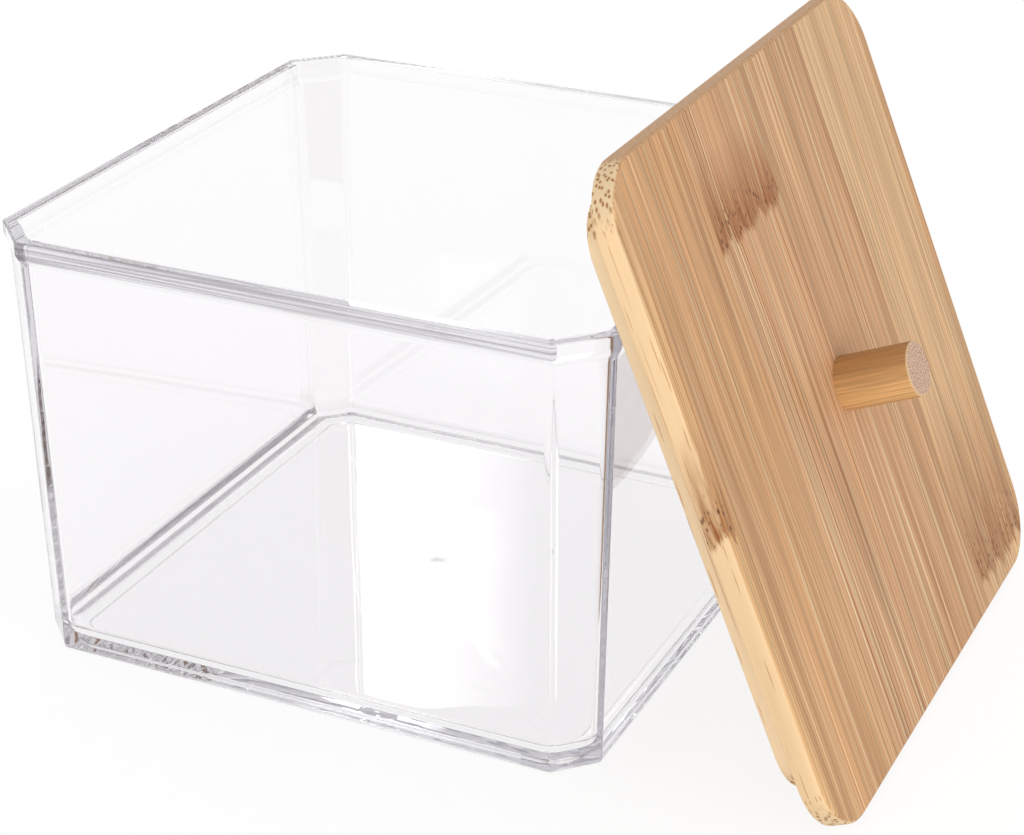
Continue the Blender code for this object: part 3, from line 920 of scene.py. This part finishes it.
class STORAGEBOX_OT_stage(bpy.types.Operator):
    """Sets the floor, the surroundings, the soft lights and the camera"""

    bl_idname = "storage_box.stage"
    bl_label = "Stage"

    def execute(self, context):
        scene = context.scene
        scene.view_settings.view_transform = "Standard"
        scene.cycles.max_bounces = 128
        scene.cycles.glossy_bounces = 128
        scene.cycles.transmission_bounces = 128

        # The floor lies 0.1 mm under the box's foot
        floor_mesh = bpy.data.meshes.new("floor")
        reach = 4.0
        floor_level = -0.0001
        ways = [(-1, -1), (1, -1), (1, 1), (-1, 1)]
        corners = [(x * reach, y * reach, floor_level) for x, y in ways]
        floor_mesh.from_pydata(corners, [], [(0, 1, 2, 3)])
        floor_mesh.materials.append(floor_paper(scene.storage_finishes))
        floor = bpy.data.objects.new("floor", floor_mesh)
        scene.collection.objects.link(floor)

        # A white room that gets greyer overhead; the camera sees it as plain white
        world = bpy.data.worlds.new("White room")
        scene.world = world
        world.use_nodes = True
        world.node_tree.nodes.clear()
        add = functools.partial(node, world.node_tree)
        up = add("ShaderNodeSeparateXYZ", {0: add("ShaderNodeTexCoord").outputs["Generated"]}).outputs["Z"]
        level = add("ShaderNodeMapRange", {
            "Value": up, "From Min": 0.15, "From Max": 0.95, "To Min": 1.0, "To Max": 0.55,
        }, interpolation_type="SMOOTHSTEP")
        camera_ray = add("ShaderNodeLightPath").outputs["Is Camera Ray"]
        strength = add("ShaderNodeMix", {"Factor": camera_ray, "A": level, "B": 1.0}, data_type="FLOAT")
        light = add("ShaderNodeBackground", {"Color": (1, 1, 1, 1), "Strength": strength})
        add("ShaderNodeOutputWorld", {"Surface": light})

        # The camera, fitted to the photograph: place from the middle of the box in rim sides
        away = RIM_SIDE * Vector((1.69629, -3.29784, 2.06595))
        turn = Matrix.Rotation(math.radians(24.59), 4, "Z")
        turn = turn @ Matrix.Rotation(math.radians(90 - 25.84), 4, "X")
        turn = turn @ Matrix.Rotation(math.radians(0.25), 4, "Z")
        data = bpy.data.cameras.new("Camera")
        data.lens = 89.17
        data.sensor_width = 36
        data.sensor_fit = "HORIZONTAL"
        data.shift_x = -0.0294
        data.shift_y = 0.0077
        camera = bpy.data.objects.new("Camera", data)
        camera.matrix_world = Matrix.Translation(BOX_MIDDLE + away) @ turn
        scene.collection.objects.link(camera)
        scene.camera = camera

        # The back softbox mirrors as the white band on the box's floor, sharp on its left, soft on its right
        back = Vector((-0.41617, 0.90929, 0))
        side = Vector((0.90929, 0.41617, 0))
        aim = BOX_MIDDLE - 0.0205 * side + Vector((0, 0, 0.281))
        lamp = softbox("back_softbox", aim + 0.5 * back, aim, 0.073, 0.128, 2.5)
        lamp.visible_camera = False
        lamp.data.use_nodes = True
        lamp.data.node_tree.nodes.clear()
        add = functools.partial(node, lamp.data.node_tree)
        across = add("ShaderNodeNewGeometry").outputs["Parametric"]
        spot = add("ShaderNodeSeparateXYZ", {0: across}).outputs["X"]
        fade = add("ShaderNodeMapRange", {"Value": spot, "From Max": 0.6})
        add("ShaderNodeOutputLight", {"Surface": add("ShaderNodeEmission", {"Strength": fade})})

        # Side softbox lights the lid's face, front softbox its near edge
        aim = BOX_MIDDLE + Vector((0.04, 0, 0.05))
        softbox("side_softbox", BOX_MIDDLE + Vector((1.1, -0.45, 0.22)), aim, 0.7, 0.35, 2.1)
        softbox("front_softbox", BOX_MIDDLE + Vector((0.25, -1.2, 0.35)), aim, 0.6, 0.4, 3.9)
        return {"FINISHED"}


class STORAGEBOX_PT_pieces(bpy.types.Panel):
    bl_label = "Storage Box"
    bl_idname = "STORAGEBOX_PT_pieces"
    bl_space_type = "VIEW_3D"
    bl_region_type = "UI"
    bl_category = "Storage Box"

    def draw(self, context):
        for operator in OPERATORS:
            self.layout.operator(operator.bl_idname)


OPERATORS = [
    STORAGEBOX_OT_shell, STORAGEBOX_OT_panel, STORAGEBOX_OT_knob, STORAGEBOX_OT_screw, STORAGEBOX_OT_stage,
]
GROUPS = {
    "storage_box": BoxSizes,
    "storage_lid": LidSizes,
    "storage_knob": KnobSizes,
    "storage_finishes": Finishes,
}
CLASSES = [*GROUPS.values(), *OPERATORS, STORAGEBOX_PT_pieces]


def register():
    for made in CLASSES:
        bpy.utils.register_class(made)
    for name, group in GROUPS.items():
        setattr(bpy.types.Scene, name, bpy.props.PointerProperty(type=group))


def unregister():
    for name in GROUPS:
        delattr(bpy.types.Scene, name)
    for made in reversed(CLASSES):
        bpy.utils.unregister_class(made)


def main():
    register()
    bpy.ops.storage_box.shell()
    bpy.ops.storage_box.lid_panel()
    bpy.ops.storage_box.knob()
    bpy.ops.storage_box.screw()
    bpy.ops.storage_box.stage()


if __name__ == "__main__":
    main()
